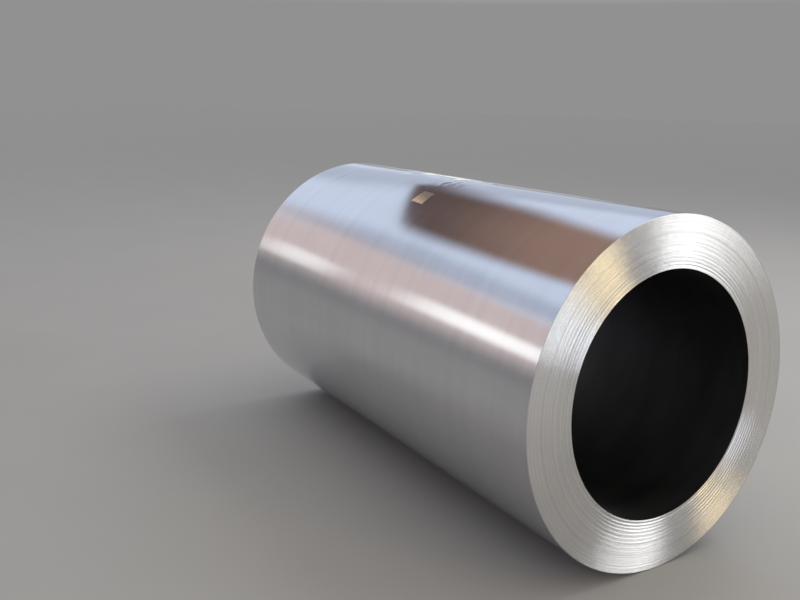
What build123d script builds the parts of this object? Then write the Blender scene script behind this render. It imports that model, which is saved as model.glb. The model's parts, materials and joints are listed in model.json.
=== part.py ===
"""Steel coil: zinc coated strip wound on a mandrel, lying on its side, with its bore along X.

The strip is one long piece, wound so tightly that the coil is one turned solid. The strip keeps its
width from the first turn to the last, so turns that wandered sideways stand back from one end of the
coil and stand out of the other end by as much. Those sideways weaves are what shows as rings on the
two ends. A square of paper tape is stuck on the outer turn.
"""

import os
from math import cos, radians, sin

from build123d import *

# Driving dimensions, mm
bore_diameter = 508.0
strip_width = 1219.0
strip_thickness = 0.5
turn_count = 216

# How the turns wandered sideways while the strip was wound, mm
straight_start = 3.2
first_weave = 6.2
weave_growth = 1.06
first_depth = 1.6
depth_decay = 0.8
least_depth = 0.25
creep_share = 0.7

# The square of paper tape, mm and degrees
tape_width = 50.0
tape_length = 50.0
tape_thickness = 0.3
tape_from_middle = -26.0
tape_above_side = 64.3
tape_skew = 6.0

# Worked out from the driving dimensions
bore_radius = bore_diameter / 2
outer_radius = bore_radius + turn_count * strip_thickness


def sideways_wander():
    """Points (sideways shift, radius) that the strip's middle follows, from the bore to the outer turn.

    The first turns lie straight. Then the strip creeps towards -X and is steered back, over and over.
    The weaves get wider and shallower outwards, and the last turns lie straight again.
    """
    points = [(0.0, bore_radius)]
    radius = bore_radius + straight_start
    weave = first_weave
    depth = first_depth
    while depth > least_depth and radius + 2 * weave < outer_radius:
        points.append((0.0, radius))
        points.append((-depth, radius + weave * creep_share))
        radius += weave
        weave *= weave_growth
        depth *= depth_decay
    points.append((0.0, radius))
    points.append((0.0, outer_radius))
    return points


def coil():
    """The wound strip, turned from one closed outline about the coil's axis."""
    wander = sideways_wander()
    seen_end = [(strip_width / 2 + shift, radius) for shift, radius in wander]
    far_end = [(-strip_width / 2 + shift, radius) for shift, radius in wander]
    section = make_face(Polyline(*seen_end, *reversed(far_end), close=True))
    middle_of_length = (seen_end[0][0] + min(x for x, radius in far_end)) / 2
    return Pos(-middle_of_length, 0, outer_radius) * revolve(section, Axis.X)


def tape():
    """The paper tape: a square cut through a ring one tape thickness deep on the outer turn."""
    ring_outline = Circle(outer_radius + tape_thickness) - Circle(outer_radius)
    ring = Rot(0, 90, 0) * extrude(ring_outline, strip_width / 2, both=True)
    outward = (0, -cos(radians(tape_above_side)), sin(radians(tape_above_side)))
    place = Plane((tape_from_middle, 0, 0), x_dir=(1, 0, 0), z_dir=outward)
    square = place * Rot(0, 0, tape_skew) * Rectangle(tape_width, tape_length)
    patch = ring & extrude(square, outer_radius * 2)
    return Pos(0, 0, outer_radius) * patch


os.makedirs("parts", exist_ok=True)
export_step(coil(), "parts/coil.step")
export_step(tape(), "parts/tape.step")
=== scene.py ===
# %% [markdown]
# # A steel coil
# A long strip of zinc coated steel, wound round and round some two hundred times. The coil lies on
# its side. What a viewer sees is one smooth outer turn, two ends where the cut edges of all the turns
# lie side by side like the grooves of a record, and a dark bore.
# The CAD model gives the sizes. This script gives the turns, the finish of the metal and the light.

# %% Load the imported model
import json
from math import atan2, cos, hypot, pi, radians, sin

import bmesh
import bpy
from mathutils import Matrix, Vector, noise


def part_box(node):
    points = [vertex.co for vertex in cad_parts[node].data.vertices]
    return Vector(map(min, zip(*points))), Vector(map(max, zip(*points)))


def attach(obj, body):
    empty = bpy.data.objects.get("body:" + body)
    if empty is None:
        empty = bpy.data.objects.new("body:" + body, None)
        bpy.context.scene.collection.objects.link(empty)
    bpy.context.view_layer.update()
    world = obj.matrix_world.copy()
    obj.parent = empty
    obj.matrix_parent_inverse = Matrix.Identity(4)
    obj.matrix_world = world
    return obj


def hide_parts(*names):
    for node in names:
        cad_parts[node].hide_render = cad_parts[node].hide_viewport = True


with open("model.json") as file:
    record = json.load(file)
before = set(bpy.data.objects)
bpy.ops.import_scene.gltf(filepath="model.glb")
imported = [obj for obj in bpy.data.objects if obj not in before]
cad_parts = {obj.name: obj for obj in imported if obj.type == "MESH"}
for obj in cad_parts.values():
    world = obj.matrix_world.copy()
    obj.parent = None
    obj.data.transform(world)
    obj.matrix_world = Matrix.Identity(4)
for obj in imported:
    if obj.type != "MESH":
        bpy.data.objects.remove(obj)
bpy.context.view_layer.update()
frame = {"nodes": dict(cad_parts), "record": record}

# %% Take the coil's sizes, in metres
coil_low, coil_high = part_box("coil")
bore_mount = next(mount for mount in frame["record"]["mounts"] if mount["name"] == "bore")
outer_radius = coil_high.y
axis_height = outer_radius
bore_radius = bore_mount["dims"]["r_mm"] / 1000
strip_width = bore_mount["dims"]["length_mm"] / 1000
strip_thickness = 0.0005
print("outer radius", outer_radius, "bore radius", bore_radius, "strip width", strip_width)

# %% [markdown]
# ## The camera
# A photo can be taken apart again: the two end circles and the outline of a coil give the camera's
# place and the length of its lens. The photo was cropped, so the picture's middle isn't the middle of
# the lens. A small shift of the lens says that without turning the camera.

# %% Set up the camera
camera_place = Vector((1.6746, -1.3435, 0.9272))
camera_azimuth = radians(60.22)
camera_elevation = radians(6.69)
camera_roll = radians(1.515)
picture_width = 800
picture_height = 600
focal_length_pixels = 833.4
lens_middle_x = 348.9
lens_middle_y = 196.4

camera = bpy.data.objects.new("camera", bpy.data.cameras.new("camera"))
bpy.context.scene.collection.objects.link(camera)
bpy.context.scene.camera = camera
camera.data.sensor_width = 36
camera.data.lens = focal_length_pixels * camera.data.sensor_width / picture_width
camera.data.shift_x = (picture_width / 2 - lens_middle_x) / picture_width
camera.data.shift_y = (lens_middle_y - picture_height / 2) / picture_width
turn_up = Matrix.Rotation(pi / 2 - camera_elevation, 4, "X")
turn_round = Matrix.Rotation(camera_azimuth, 4, "Z")
roll = Matrix.Rotation(camera_roll, 4, "Z")
camera.matrix_world = Matrix.Translation(camera_place) @ turn_round @ turn_up @ roll
print("lens", round(camera.data.lens, 2), "mm")

# %% [markdown]
# ## Small helpers
# Every piece is shaped in a bmesh and then becomes one object at the origin. Places on the coil are
# easiest to give by how far along the axis, how far from the axis and how far round they are. The
# angle starts at the side of the coil that faces -Y and grows over the top.


# %% Turn a bmesh into an object
def object_from(work, name, finishes):
    """Turns a bmesh into an object with its finishes, linked to the scene."""
    mesh = bpy.data.meshes.new(name)
    work.to_mesh(mesh)
    work.free()
    for finish in finishes:
        mesh.materials.append(finish)
    thing = bpy.data.objects.new(name, mesh)
    bpy.context.scene.collection.objects.link(thing)
    return thing


def piece_from(work, name, finishes, replaced):
    """Turns a bmesh into a piece of the coil, which moves with it and stands for a CAD node."""
    piece = object_from(work, name, finishes)
    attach(piece, "root")
    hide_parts(replaced)
    triangles = sum(len(face.vertices) - 2 for face in piece.data.polygons)
    print(name, "triangles", triangles)


# %% Smooth faces with crisp corners
def shade_smooth_with_corners(work, corner=radians(35)):
    """Smooth faces, but with a crisp edge wherever the surface turns by more than the corner angle."""
    for face in work.faces:
        face.smooth = True
    for edge in work.edges:
        edge.smooth = edge.calc_face_angle(0) < corner


# %% Places on the coil
def on_coil(along, radius, angle):
    """A point by its place along the axis, its distance from the axis and its angle over the side."""
    return Vector((along, -radius * cos(angle), axis_height + radius * sin(angle)))


def distance_from_axis(point):
    return hypot(point.y, point.z - axis_height)


print("top of the coil", on_coil(0, outer_radius, pi / 2))

# %% [markdown]
# ## Shader maths in plain expressions
# A finish is worked out by small sums on numbers: how far from the axis, how grainy, how dull. In the
# node editor each sum is a box of its own. A small class that stands for a socket lets the sums be
# written the usual way, and adds the boxes itself. The same bench serves materials, lamps and the
# world.


# %% A number on its way through a node tree
class Number:
    """A number or colour on its way through a node tree. Sums on it add Math nodes."""

    def __init__(self, bench, socket):
        self.bench = bench
        self.socket = socket

    def __add__(self, other):
        return self.bench.sum("ADD", self, other)

    def __radd__(self, other):
        return self.bench.sum("ADD", other, self)

    def __sub__(self, other):
        return self.bench.sum("SUBTRACT", self, other)

    def __rsub__(self, other):
        return self.bench.sum("SUBTRACT", other, self)

    def __mul__(self, other):
        return self.bench.sum("MULTIPLY", self, other)

    def __rmul__(self, other):
        return self.bench.sum("MULTIPLY", other, self)

    def squared(self):
        return self * self

    def size(self):
        """The number without its sign."""
        return self.bench.sum("ABSOLUTE", self, 0)

    def part(self, letter):
        """One part, X, Y or Z, of a place or direction."""
        return self.bench.node("ShaderNodeSeparateXYZ", output=letter, Vector=self)


# %% The bench that nodes are put together on
class Bench:
    """Puts nodes together in one node tree."""

    def __init__(self, tree):
        self.tree = tree

    def node(self, kind, settings=None, output=0, **inputs):
        """Adds any node: its settings first, then its sockets by name, with _ for a space."""
        node = self.tree.nodes.new(kind)
        for setting, value in (settings or {}).items():
            setattr(node, setting, value)
        for name, value in inputs.items():
            key = int(name[1:]) if name[0] == "_" else name.replace("_", " ")
            self.give(node.inputs[key], value)
        return Number(self, node.outputs[output])

    def give(self, socket, value):
        """Links a number or sets a plain value."""
        if isinstance(value, Number):
            self.tree.links.new(value.socket, socket)
        else:
            socket.default_value = value

    def sum(self, operation, first, second):
        return self.node("ShaderNodeMath", {"operation": operation}, _0=first, _1=second)

    def mix(self, share, first, second):
        """A colour between two colours."""
        return self.node("ShaderNodeMix", {"data_type": "RGBA"}, 2, _0=share, _6=first, _7=second)

    def vector(self, operation, first, second, output=0):
        return self.node("ShaderNodeVectorMath", {"operation": operation}, output, _0=first, _1=second)

    def grain(self, place, scale, detail, stretch=(1, 1, 1)):
        """Noise from 0 to 1, with about this many grains a metre, more or fewer where it is stretched."""
        stretched = self.vector("MULTIPLY", place, stretch)
        return self.node("ShaderNodeTexNoise", Vector=stretched, Scale=scale, Detail=detail)

    def rise(self, value, low, high):
        """0 below low, 1 above high, and a soft step between."""
        settings = {"interpolation_type": "SMOOTHSTEP"}
        return self.node("ShaderNodeMapRange", settings, Value=value, From_Min=low, From_Max=high)


# %% A bench for a finish
class Finish(Bench):
    """A new material, with the places on the coil measured from its axis."""

    def __init__(self, name):
        self.material = bpy.data.materials.new(name)
        self.material.use_nodes = True
        super().__init__(self.material.node_tree)
        self.shader = self.tree.nodes["Principled BSDF"]

    def place(self):
        where = self.node("ShaderNodeTexCoord", output="Object")
        return self.vector("SUBTRACT", where, (0, 0, axis_height))

    def from_axis(self, place):
        """The distance from the coil's axis."""
        return self.vector("LENGTH", self.vector("MULTIPLY", place, (0, 1, 1)), (0, 0, 0), "Value")

    def surface(self, **inputs):
        """Sets or links the sockets of the surface shader."""
        for name, value in inputs.items():
            self.give(self.shader.inputs[name.replace("_", " ")], value)
        print("finish", self.material.name, "with", len(self.tree.nodes), "nodes")
        return self.material


# %% [markdown]
# ## The finish of the strip
# Zinc coated strip that has been rolled once more is satin: it mirrors lamps and walls as soft
# patches. The rolls leave fine lines along the strip, which run round the coil, and a faint cloudiness.
# Noise that is stretched round the coil gives both. It moves the dullness and the height of the
# surface more than its colour, because bare metal has hardly any pattern in its colour.

# %% The flat of the strip
fine_line_stretch = (900, 5, 5)
wide_line_stretch = (45, 1.2, 1.2)
dark_zinc = (0.60, 0.61, 0.64, 1)
light_zinc = (0.74, 0.75, 0.77, 1)
strip_dullness = 0.06


def strip_finish():
    finish = Finish("satin_zinc_strip")
    place = finish.place()
    fine_lines = finish.grain(place, 1, 4, fine_line_stretch)
    wide_lines = finish.grain(place, 1, 2, wide_line_stretch)
    clouds = finish.grain(place, 6, 4)
    colour = finish.mix(clouds * 0.5 + wide_lines * 0.5, dark_zinc, light_zinc)
    dullness = strip_dullness + wide_lines * 0.045 + fine_lines * 0.03 + clouds * 0.03
    relief = finish.node("ShaderNodeBump", Height=fine_lines, Strength=0.2, Distance=0.0001)
    return finish.surface(Base_Color=colour, Metallic=1.0, Roughness=dullness, Normal=relief)


strip_metal = strip_finish()

# %% [markdown]
# The ends show nothing but cut edges. Slitting leaves them brighter than the flat, and each turn's
# edge has its own shade. The pattern is noise on one number, the distance from the axis, so it makes
# rings and no spots.

# %% The cut edges of the strip
turns_in_a_metre = 330
bands_in_a_metre = 90
dark_edge = (0.61, 0.61, 0.62, 1)
light_edge = (0.86, 0.86, 0.85, 1)
edge_dullness = 0.15


def edge_finish():
    finish = Finish("cut_strip_edges")
    place = finish.place()
    ring = finish.node("ShaderNodeCombineXYZ", X=finish.from_axis(place))
    turn_shades = finish.grain(ring, turns_in_a_metre, 3)
    band_shades = finish.grain(ring, bands_in_a_metre, 2)
    smudges = finish.grain(place, 9, 4)
    tone = turn_shades * 0.65 + band_shades * 0.2 + smudges * 0.15
    colour = finish.mix(finish.rise(tone, 0.30, 0.70), dark_edge, light_edge)
    dullness = edge_dullness + smudges * 0.08
    return finish.surface(Base_Color=colour, Metallic=1.0, Roughness=dullness)


edge_metal = edge_finish()

# %% [markdown]
# The inside of the bore was pressed hard while the strip was wound, and scuffed when the coil was slid
# off. It is the same metal, but much duller, with streaks that run round more than along. Its colour
# is also much darker than the flat's: that darkness is painted shade, for little light reaches the
# deep bore.

# %% The inside of the bore
rub_stretch = (30, 6, 6)
# Both tones hold painted shade of the deep bore: they are far darker than the strip's own metal.
dark_rub_and_shade = (0.13, 0.125, 0.125, 1)
light_rub_and_shade = (0.27, 0.27, 0.27, 1)
bore_dullness = 0.30


def bore_finish():
    finish = Finish("rubbed_and_shaded_bore")
    place = finish.place()
    rubs = finish.grain(place, 1, 3, rub_stretch)
    clouds = finish.grain(place, 8, 4)
    colour = finish.mix(rubs * 0.5 + clouds * 0.5, dark_rub_and_shade, light_rub_and_shade)
    dullness = bore_dullness + rubs * 0.12
    return finish.surface(Base_Color=colour, Metallic=1.0, Roughness=dullness)


bore_metal = bore_finish()

# %% [markdown]
# ## Where the edges of the strip lie
# While the strip was wound it wandered sideways, so its edges don't lie in one plane. The CAD solid
# holds that as steps on its two ends. Its own corners are read back here: for each radius, how far
# along the axis the edge of the strip lies at the end that the camera sees. The strip keeps its
# width, so the other end follows.

# %% Read the edge of the strip from the CAD solid
edge_at_radius = {}
for vertex in frame["nodes"]["coil"].data.vertices:
    if vertex.co.x > 0:
        edge_at_radius[round(distance_from_axis(vertex.co), 5)] = vertex.co.x
edge_radii = sorted(edge_at_radius)
print("corners of the end's outline", len(edge_radii))


# %% The strip's edge at any distance from the axis
def seen_edge(radius):
    """How far along the axis the strip's edge lies at this distance from the axis."""
    if radius <= edge_radii[0]:
        return edge_at_radius[edge_radii[0]]
    for inner, outer in zip(edge_radii, edge_radii[1:]):
        if radius <= outer:
            share = (radius - inner) / (outer - inner)
            return edge_at_radius[inner] * (1 - share) + edge_at_radius[outer] * share
    return edge_at_radius[edge_radii[-1]]


near_x = seen_edge(bore_radius)
far_x = near_x - strip_width
print("the bore runs from", round(far_x, 4), "to", round(near_x, 4))

# %% [markdown]
# ## The wound turns
# A record player's groove is one spiral, and so is a coil: each turn starts where the last one ended,
# one strip thickness further out. The ends could be a picture of rings on a flat disc, but then they
# would shine like a disc. Real grooves throw light sideways, which gives a coil's end its bright and
# dark fans. So every turn gets a real rounded edge. The section is spun round the axis, and then each
# point is pushed outwards by as much as a spiral has grown by there, so that the end of every turn
# meets the start of the next.

# %% How many turns, and where they end
tail_angle = radians(106)
turn_total = round((outer_radius - bore_radius) / strip_thickness) - 1
wound_turns = turn_total - 1
core_radius = bore_radius + wound_turns * strip_thickness
print("turns under the last one", wound_turns, "which end at the radius", core_radius)

# %% How far each turn's edge stands out
crest_height = 0.00021
small_slip = 0.00004
wide_slip = 0.00009
quick_change = 0.2
slow_change = 0.35
seen_end_seed = 0
far_end_seed = 20


def drift(winding, pace, seed, row):
    """Noise from about -1 to 1 that changes at this pace with every turn."""
    return noise.noise(Vector((winding * pace, seed, row)))


def edge_of_turn(winding, crest, seed):
    """How far the edge stands out there: its rounding, and small slips of turn against turn."""
    slip = drift(winding, 0.47, seed, 0) * small_slip
    slip += drift(winding, 0.15, seed, 7) * wide_slip
    rounding = 1 + quick_change * drift(winding, 1.9, seed, 3)
    rounding += slow_change * drift(winding, 0.23, seed, 5)
    return slip + (crest_height * rounding if crest else 0)


tenth_edge = edge_of_turn(10, True, seen_end_seed)
print("edge of the tenth turn stands out by", round(tenth_edge * 1000, 3), "mm")

# %% [markdown]
# The section is a ring of straight chains: along one end, over the outside, along the other end and
# back through the bore. On the ends every turn has two points, one in the valley between two turns
# and one on its crest.

# %% Draw the section
bore_rows = 12
same_place = 1e-6


def chain(work, start, end, cuts):
    """A straight chain of edges between two points of the section, given by along and radius."""
    pair = [bmesh.ops.create_vert(work, co=on_coil(*point, 0))["vert"][0] for point in (start, end)]
    bmesh.ops.subdivide_edges(work, edges=[work.edges.new(pair)], cuts=cuts)


work = bmesh.new()
# A new layer makes Blender forget the vertices that a script holds, so it comes first.
valley = work.verts.layers.int.new("valley")
corners = [(near_x, bore_radius), (near_x, core_radius), (far_x, core_radius), (far_x, bore_radius)]
cuts_on_side = [2 * wound_turns - 1, 1, 2 * wound_turns - 1, bore_rows - 1]
for start, end, cuts in zip(corners, corners[1:] + corners[:1], cuts_on_side):
    chain(work, start, end, cuts)
bmesh.ops.remove_doubles(work, verts=work.verts, dist=same_place)
print("points in the section", len(work.verts))

# %% Spin the section round the axis
spin_steps = 108
first_section = set(work.verts)
spun = bmesh.ops.spin(
    work,
    geom=work.verts[:] + work.edges[:],
    cent=(0, 0, axis_height),
    axis=(1, 0, 0),
    angle=2 * pi,
    steps=spin_steps,
    use_merge=False,
)
last_section = {item for item in spun["geom_last"] if isinstance(item, bmesh.types.BMVert)}
print("points in all", len(work.verts))


# %% Turn the rings into one spiral
near_the_ends = strip_width / 2 - 0.01


def share_of_turn(vertex):
    """How much of its turn the strip has made there, from 0 to 1.

    The spin went round against the winding, so it began where each turn ends.
    """
    if vertex in first_section:
        return 1.0
    if vertex in last_section:
        return 0.0
    return atan2(vertex.co.z - axis_height, -vertex.co.y) % (2 * pi) / (2 * pi)


for vertex in work.verts:
    share = share_of_turn(vertex)
    halves = round((distance_from_axis(vertex.co) - bore_radius) / strip_thickness * 2)
    winding = halves / 2 + share
    spiral_radius = bore_radius + winding * strip_thickness
    crest = halves % 2 == 1
    along = vertex.co.x
    if abs(along - near_x) < same_place:
        along = seen_edge(spiral_radius) + edge_of_turn(winding, crest, seen_end_seed)
    if abs(along - far_x) < same_place:
        along = seen_edge(spiral_radius) - strip_width - edge_of_turn(winding, crest, far_end_seed)
    vertex[valley] = not crest and abs(along) > near_the_ends
    vertex.co = on_coil(along, spiral_radius, tail_angle - 2 * pi * (1 - share))
print("points in the valleys", sum(vertex[valley] for vertex in work.verts))

# %% Close the spiral
bmesh.ops.remove_doubles(work, verts=work.verts, dist=same_place)
open_edges = [edge for edge in work.edges if edge.is_boundary]
strip_ends = bmesh.ops.holes_fill(work, edges=open_edges, sides=0)["faces"]
bmesh.ops.recalc_face_normals(work, faces=work.faces)
print("edges left open", sum(edge.is_boundary for edge in work.edges), "strip ends", len(strip_ends))

# %% [markdown]
# The rounded edges are shaded smooth, with a crisp line only in the valleys between two turns and
# round the two small faces where the strip starts and ends.

# %% Shade the turns and give the bore its finish
for strip_end in strip_ends:
    for edge in strip_end.edges:
        edge.smooth = False
valley = work.verts.layers.int["valley"]
for edge in work.edges:
    if all(end[valley] for end in edge.verts):
        edge.smooth = False


def lies_in_bore(face):
    """Whether a face is part of the bore's wall, where the first turn has grown by one thickness."""
    heights = [distance_from_axis(vertex.co) - bore_radius for vertex in face.verts]
    return max(map(abs, heights)) < strip_thickness * 1.01 and abs(face.normal.x) < 0.5


for face in work.faces:
    face.smooth = True
    face.material_index = 1 if lies_in_bore(face) else 0
piece_from(work, "wound_turns", [edge_metal, bore_metal], "coil")

# %% [markdown]
# ## The outer turn
# The last turn is a sheet of its own to the eye: smooth, with slow waves that bend what it mirrors.
# Near its loose end on top it was dented when it was handled: a patch of small creases, a few soft
# diagonal buckles and one low bump. All of that is height over a rolled-up sheet, so one function
# gives the sheet's distance from the axis anywhere, and the tape can use it too.


# %% A soft patch of the sheet
def soft_patch(along, angle, middle_along, middle_degrees, reach_along, reach_round):
    """1 in the middle of a patch of the sheet, falling softly to 0 at its border."""
    away_along = (along - middle_along) / reach_along
    away_round = (angle - radians(middle_degrees)) * outer_radius / reach_round
    away = min(hypot(away_along, away_round), 1)
    return (1 - away * away) ** 2


crease_patch = (-0.035, 82, 0.075, 0.065)
buckle_patch = (-0.235, 88, 0.15, 0.09)
bump_patch = (0.022, 92, 0.035, 0.035)
print("middle of the creases", on_coil(crease_patch[0], outer_radius, radians(crease_patch[1])))


# %% Crumpled sheet
def crumple(along, round_way):
    """Dents and ridges of crumpled sheet, longer round the coil than along it, from about -1 to 1."""
    dents = noise.noise(Vector((along * 46, round_way * 17, 5)))
    small_dents = noise.noise(Vector((along * 80 + round_way * 30, round_way * 34, 8)))
    ridge_line = noise.noise(Vector((along * 26 - round_way * 9, round_way * 12, 11)))
    ridge = max(1 - abs(ridge_line) * 4, 0)
    return dents + 0.5 * small_dents + 0.5 * ridge * ridge


def diagonal_buckles(along, round_way):
    """Soft ridges that run aslant over the sheet, with flat sheet between them."""
    return max(noise.noise(Vector((along * 16 - round_way * 22, round_way * 9, 3))) + 0.35, 0)


print("crumple at one place", round(crumple(0.01, 0.5), 3))

# %% How high the outer turn lies
wave_height = 0.0004
wave_at_tail = 0.1
wave_growth = 30
crease_height = 0.0022
buckle_height = 0.0006
bump_height = 0.0012
tail_spring = 0.0007
tail_spring_reach = 0.07
plain_share = 0.7


def outer_turn_radius(along, angle):
    """The distance from the axis to the inside of the last turn.

    The waves die down towards the loose end, and only the last part of the turn is dented.
    """
    share = 1 - (tail_angle - angle) / (2 * pi)
    round_way = outer_radius * angle
    radius = core_radius + share * strip_thickness
    wave = noise.noise(Vector((along * 4, cos(angle) * 1.6, sin(angle) * 1.6)))
    radius += (wave + 0.5) * wave_height * min(1, (1 - share) * wave_growth + wave_at_tail)
    if share < plain_share:
        return radius
    creases = (crumple(along, round_way) + 0.5) * soft_patch(along, angle, *crease_patch)
    buckles = diagonal_buckles(along, round_way) * soft_patch(along, angle, *buckle_patch)
    radius += creases * crease_height + buckles * buckle_height
    radius += bump_height * soft_patch(along, angle, *bump_patch)
    from_tail = (tail_angle - angle) * outer_radius
    spring = max(1 - from_tail / tail_spring_reach, 0)
    return radius + spring * spring * tail_spring


print("the sheet's end springs up to", round(outer_turn_radius(0, tail_angle), 5))

# %% [markdown]
# The sheet is laid out flat first, as a grid, and gets a finer mesh where it is dented. Only then is
# it rolled up, so the fine part keeps its neat rows. Solidify gives the steel its thickness.

# %% Lay the sheet out flat
sheet_columns = 330
sheet_rows = 96
fine_cuts = 3
dented_from, dented_to = -0.40, 0.08
dented_above = radians(73)


def unrolled(vertex):
    """The place along the axis and the angle of a vertex of the flat grid."""
    return far_x + (vertex.co.x + 0.5) * strip_width, tail_angle - 2 * pi * (0.5 - vertex.co.y)


def is_dented(face):
    places = [unrolled(vertex) for vertex in face.verts]
    return all(dented_from < along < dented_to and angle > dented_above for along, angle in places)


work = bmesh.new()
bmesh.ops.create_grid(work, x_segments=sheet_rows, y_segments=sheet_columns, size=0.5)
dented = {edge for face in work.faces if is_dented(face) for edge in face.edges}
bmesh.ops.subdivide_edges(work, edges=list(dented), cuts=fine_cuts, use_grid_fill=True)
print("faces of the flat sheet", len(work.faces))

# %% Roll the sheet up
for vertex in work.verts:
    along, angle = unrolled(vertex)
    vertex.co = on_coil(along, outer_turn_radius(along, angle), angle)
bmesh.ops.recalc_face_normals(work, faces=work.faces)
side_face = min(work.faces, key=lambda face: face.calc_center_median().y)
if side_face.normal.y > 0:
    bmesh.ops.reverse_faces(work, faces=work.faces)
bmesh.ops.solidify(work, geom=work.faces[:], thickness=-strip_thickness)
shade_smooth_with_corners(work)
piece_from(work, "outer_turn", [strip_metal], "coil")

# %% [markdown]
# ## The paper tape
# A square of tan paper tape is stuck on the outer turn. Its colour is lighter below and a darker brown
# towards its upper right corner, and it isn't quite flat. Two sides are cut and lean a little, and the
# other two are torn at a slope.

# %% The finish of the tape
crepe_stretch = (160, 1200, 1200)
dark_paper = (0.52, 0.35, 0.23, 1)
light_paper = (0.80, 0.58, 0.41, 1)
dark_upper_right_paper = (0.16, 0.115, 0.095, 1)
darkening_border = (0.312, 0.331)
darkening_slope = 0.16
darkening_raggedness = 0.006
paper_dullness = 0.5


def tape_finish():
    finish = Finish("tan_paper_tape")
    place = finish.place()
    fibres = finish.grain(place, 700, 4)
    crepe = finish.grain(place, 1, 2, crepe_stretch)
    stains = finish.grain(place, 45, 3)
    tone = fibres * 0.25 + crepe * 0.25 + stains * 0.5
    plain_paper = finish.mix(finish.rise(tone, 0.35, 0.62), dark_paper, light_paper)
    # The paper turns a darker brown towards its upper right corner, with a ragged border.
    up_and_right = place.part("Z") + stains * darkening_raggedness + place.part("X") * darkening_slope
    darker_upper_right = finish.rise(up_and_right, *darkening_border)
    colour = finish.mix(darker_upper_right * 0.9, plain_paper, dark_upper_right_paper)
    relief = finish.node("ShaderNodeBump", Height=crepe, Strength=0.5, Distance=0.0002)
    return finish.surface(Base_Color=colour, Roughness=paper_dullness + fibres * 0.2, Normal=relief)


tan_paper = tape_finish()

# %% Cut and stick the tape
tape_low, tape_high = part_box("tape")
tape_middle = (tape_low + tape_high) / 2
tape_angle = atan2(tape_middle.z - axis_height, -tape_middle.y)
tape_side = 0.050
tape_cells = 48
side_lean = radians(10)
torn_slope = radians(-5)
blister_height = 0.0006
blister_grains = 60
glue_gap = 0.0001
paper_thickness = 0.00015

work = bmesh.new()
bmesh.ops.create_grid(work, x_segments=tape_cells, y_segments=tape_cells, size=tape_side / 2)
for vertex in work.verts:
    flat = vertex.co.copy()
    along = tape_middle.x + flat.x - flat.y * sin(side_lean)
    angle = tape_angle + (flat.y + flat.x * sin(torn_slope)) / outer_radius
    surface = outer_turn_radius(along, angle) + strip_thickness
    blister = max(noise.noise(Vector((flat.x * blister_grains, flat.y * blister_grains, 2))), 0)
    vertex.co = on_coil(along, surface + glue_gap + blister * blister_height, angle)
bmesh.ops.recalc_face_normals(work, faces=work.faces)
if sum(face.normal.z for face in work.faces) < 0:
    bmesh.ops.reverse_faces(work, faces=work.faces)
bmesh.ops.solidify(work, geom=work.faces[:], thickness=-paper_thickness)
shade_smooth_with_corners(work)
piece_from(work, "paper_tape", [tan_paper], "tape")

# %% [markdown]
# ## The floor
# The coil is shown in a plain studio, on a wide pale floor with a faint grain. The floor is so wide
# that its rim lies near the horizon, where the dome takes over in the same tone.

# %% The floor
floor_reach = 60.0
dark_floor = (0.335, 0.325, 0.31, 1)
light_floor = (0.365, 0.355, 0.34, 1)

floor_finish = Finish("pale_floor")
floor_grain = floor_finish.grain(floor_finish.place(), 2.5, 3)
floor_colour = floor_finish.mix(floor_grain, dark_floor, light_floor)
work = bmesh.new()
bmesh.ops.create_circle(work, cap_ends=True, segments=96, radius=floor_reach)
floor = object_from(work, "floor", [floor_finish.surface(Base_Color=floor_colour, Roughness=0.75)])
print("the floor reaches", floor_reach, "m")

# %% [markdown]
# ## The dome
# Metal only looks like metal when it has something to mirror, so the dome over the floor isn't even.
# The far half of its sky is a cool white, the near half has a warm tone up to the height of a wall,
# two duller strips run along the two long sides, and the part behind the camera is dim. Every border
# is a soft step, so the metal shows soft bands. At the horizon the dome has the tone of the floor.


# %% Tones of the dome
horizon_tone = (0.287, 0.281, 0.283, 1)
near_wall_tone = (0.79, 0.65, 0.63, 1)
sky_tone = (0.78, 0.87, 1.05, 1)
zenith_tone = (0.90, 0.85, 0.78, 1)
dull_strip_tone = (0.22, 0.23, 0.28, 1)
dim_side_tone = (0.27, 0.27, 0.28, 1)


# %% Borders in the dome, in degrees above the horizon
near_wall_top = (23, 30)
dull_strip_foot = (17, 22)
dull_strip_top = (27, 33)
dull_strip_strength = 0.4
foot_slope = 0.25
top_slope = 0.15
zenith_rim = (47, 55)
clean_horizon_rim = (6.2, 9.5)
soft_horizon_rim = (-1, 11)


def above(height, border):
    """0 below a border and 1 above it, with a soft step from its first angle to its second."""
    low, high = [sin(radians(degrees)) for degrees in border]
    return dome.rise(height, low, high)


print("the zenith's tone begins", zenith_rim[0], "degrees above the horizon")

# %% Put the dome together
world = bpy.data.worlds.new("studio_dome")
bpy.context.scene.world = world
world.use_nodes = True
dome = Bench(world.node_tree)
direction = dome.node("ShaderNodeTexCoord", output="Generated")
towards_seen_end, away_from_camera, height = [direction.part(letter) for letter in "XYZ"]

near_wall = dome.mix(above(height, near_wall_top), near_wall_tone, sky_tone)
sky = dome.mix(dome.rise(away_from_camera, -0.35, -0.05), near_wall, sky_tone)

to_a_side = dome.rise(away_from_camera.size(), 0.10, 0.28)
above_foot = above(height + away_from_camera * foot_slope, dull_strip_foot)
below_top = 1 - above(height + away_from_camera * top_slope, dull_strip_top)
sky = dome.mix(to_a_side * above_foot * below_top * dull_strip_strength, sky, dull_strip_tone)
sky = dome.mix(dome.rise(towards_seen_end, -0.35, 0.35), sky, dim_side_tone)
sky = dome.mix(above(height, zenith_rim), sky, zenith_tone)

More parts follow.
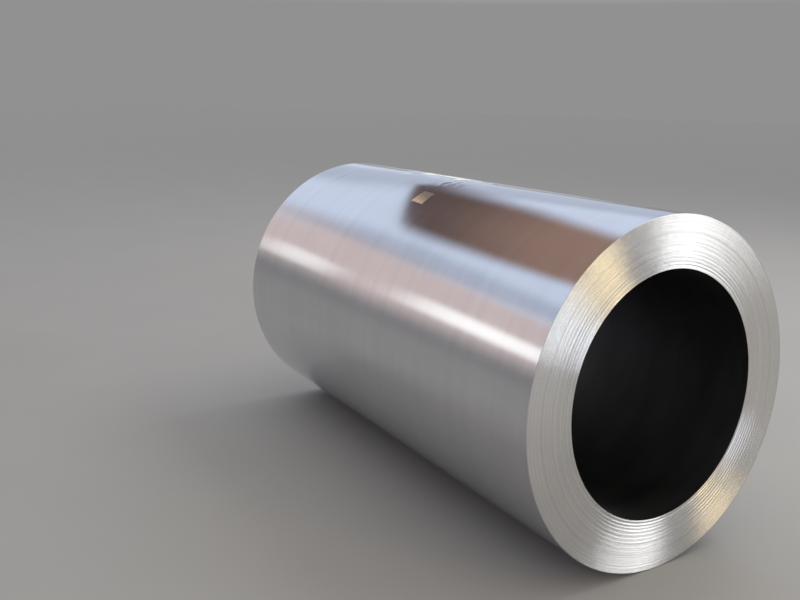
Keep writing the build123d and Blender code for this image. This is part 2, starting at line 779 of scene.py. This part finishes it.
clean_horizon = above(height, clean_horizon_rim)
soft_horizon = above(height, soft_horizon_rim)
on_near_side = 1 - dome.rise(away_from_camera, -0.30, -0.12)
above_horizon = clean_horizon + (soft_horizon - clean_horizon) * on_near_side
sky = dome.mix(above_horizon, horizon_tone, sky)

dome.give(world.node_tree.nodes["Background"].inputs["Color"], sky)
bpy.context.scene.view_settings.view_transform = "Standard"
print("nodes in the dome", len(world.node_tree.nodes))

# %% [markdown]
# ## The glowing dark card
# A metal that mirrors only light looks flat, so studios hang a dull card where the metal wants a
# dark, just outside the picture. This one hangs upright beyond the far end of the coil. It isn't lit:
# it glows with its own painted brownish tone, lighter towards its top, so what the metal mirrors of it
# is a painted reflection. Its lower edge is cut sharp in a bow and its other borders fade out, so
# the dark that it leaves on the barrel starts sharply and fades out on its other sides. Only what the
# metal mirrors shows it, and only from its front: it takes no light away.

# %% The tones and the borders of the card, in metres
# The card's two tones are painted glow, not light that falls on it: darker below, lighter towards its
# top.
dark_card_glow = (0.13, 0.09, 0.085, 1)
light_card_glow = (0.37, 0.235, 0.185, 1)
glow_change = (1.1, 1.9)
clean_cut = (1.12, 1.14)
bow_middle = -0.22
bow_depth = 0.78
near_border = (-0.54, -0.26)
near_lean = 0.53
near_lean_foot = 1.19
far_border = (0.16, 0.56)
far_lean = 0.30
far_lean_foot = 1.04
far_lean_reach = 0.46
faded_top = (2.15, 2.65)
print("the card's lower edge is cut at", clean_cut[0], "and its top is faded from", faded_top[0])

# %% The finish of the card
card_finish = Finish("glowing_dark_card")
spot = card_finish.node("ShaderNodeTexCoord", output="Object")
across, up = spot.part("Y"), spot.part("Z")
bow = (across - bow_middle).squared() * bow_depth
above_cut = card_finish.rise(up + bow, *clean_cut)
past_near = card_finish.rise(across + (up - near_lean_foot) * near_lean, *near_border)
lean = card_finish.sum("MINIMUM", up - far_lean_foot, far_lean_reach) * far_lean
before_far = 1 - card_finish.rise(across - lean, *far_border)
below_top = 1 - card_finish.rise(up, *faded_top)
front = 1 - card_finish.node("ShaderNodeNewGeometry", output="Backfacing")
# Painted glow: the card shows this tone with no lamp on it, and the metal mirrors it as a painted
# reflection.
card_glow = card_finish.mix(card_finish.rise(up, *glow_change), dark_card_glow, light_card_glow)
card_surface = card_finish.surface(
    Base_Color=(0, 0, 0, 1),
    Specular_IOR_Level=0.0,
    Emission_Color=card_glow,
    Emission_Strength=1.0,
    Alpha=above_cut * past_near * before_far * below_top * front,
)

# %% Hang the card
card_place = -0.72
card_bottom = 1.0
card_size = 1.7

work = bmesh.new()
bmesh.ops.create_grid(work, x_segments=1, y_segments=1, size=card_size / 2)
upright = Matrix.Rotation(pi / 2, 3, "Y")
bmesh.ops.rotate(work, verts=work.verts, cent=(0, 0, 0), matrix=upright)
card_middle = (card_place, 0, card_bottom + card_size / 2)
bmesh.ops.translate(work, verts=work.verts, vec=card_middle)
card = object_from(work, "glowing_dark_card", [card_surface])
card.visible_camera = False
card.visible_diffuse = False
card.visible_shadow = False
print("the card faces", card.data.polygons[0].normal)

# %% [markdown]
# ## The lamps
# Each lamp is a lit rectangle that faces the coil, and on metal it shows as a patch of its own shape.
# A bare rectangle leaves a hard-edged patch. These fade towards their rims, as a window with frosted
# glass or a lamp behind cloth does. Two windows at the near side make the bright band along the
# barrel, with a break between them, two more behind the coil light its rim, three lamps at the seen
# end make the fans on the cut edges, and one large lamp high on the far side throws the soft shadow.


# %% A lamp that fades towards its rim
def soft_lamp(name, azimuth, elevation, distance, width, height, brightness, colour, rim):
    """A rectangular lamp that faces the coil. Its brightness is what a mirror would show of it.

    The azimuth is counted from +X towards +Y, in degrees. The rim is how soft it is, from 0 to 1.
    """
    flat = cos(radians(elevation)) * distance
    place = Vector((flat * cos(radians(azimuth)), flat * sin(radians(azimuth)), 0))
    place.z = axis_height + sin(radians(elevation)) * distance
    lamp = bpy.data.lights.new(name, "AREA")
    lamp.shape = "RECTANGLE"
    lamp.size = width
    lamp.size_y = height
    lamp.energy = brightness * pi * width * height
    lamp.color = colour
    lamp.use_nodes = True
    bench = Bench(lamp.node_tree)
    spot = bench.node("ShaderNodeNewGeometry", output="Parametric")
    across, up = spot.part("X"), spot.part("Y")
    glow = bench.rise(across * (1 - across) * 4, 0, rim) * bench.rise(up * (1 - up) * 4, 0, rim)
    bench.give(lamp.node_tree.nodes["Emission"].inputs["Strength"], glow)
    holder = bpy.data.objects.new(name, lamp)
    bpy.context.scene.collection.objects.link(holder)
    facing = (Vector((0, 0, axis_height)) - place).to_track_quat("-Z", "Y")
    holder.matrix_world = Matrix.Translation(place) @ facing.to_matrix().to_4x4()
    holder.visible_camera = False
    print(name, "at", place, "with", round(lamp.energy, 1), "W")


white = (1.0, 1.0, 1.0)
daylight = (0.90, 1.0, 0.97)
cool = (0.88, 0.92, 1.0)
warm = (1.0, 0.78, 0.42)

# %% Windows at the near side and behind the coil
soft_lamp(
    "window_left", azimuth=208.8, elevation=9.6, distance=5.0,
    width=0.80, height=0.80, brightness=0.55, colour=daylight, rim=1.0,
)
soft_lamp(
    "window_right", azimuth=228, elevation=13.4, distance=5.0,
    width=2.00, height=0.85, brightness=0.85, colour=daylight, rim=1.0,
)
soft_lamp(
    "window_behind", azimuth=144.5, elevation=8, distance=5.0,
    width=0.70, height=0.40, brightness=1.0, colour=daylight, rim=1.0,
)
soft_lamp(
    "strip_behind", azimuth=140, elevation=6.3, distance=5.0,
    width=2.8, height=0.40, brightness=0.45, colour=daylight, rim=1.0,
)

# %% Lamps at the seen end and the far side
soft_lamp(
    "far_side", azimuth=56, elevation=12, distance=4.6,
    width=2.8, height=2.9, brightness=2.45, colour=white, rim=0.4,
)
soft_lamp(
    "warm_side", azimuth=15, elevation=20, distance=4.6,
    width=1.1, height=2.7, brightness=2.9, colour=warm, rim=0.4,
)
soft_lamp(
    "cool_side", azimuth=-14, elevation=16, distance=4.6,
    width=2.1, height=2.5, brightness=2.2, colour=cool, rim=0.4,
)
soft_lamp(
    "back_light", azimuth=88, elevation=52, distance=5.5,
    width=4.0, height=2.9, brightness=3.9, colour=white, rim=0.6,
)
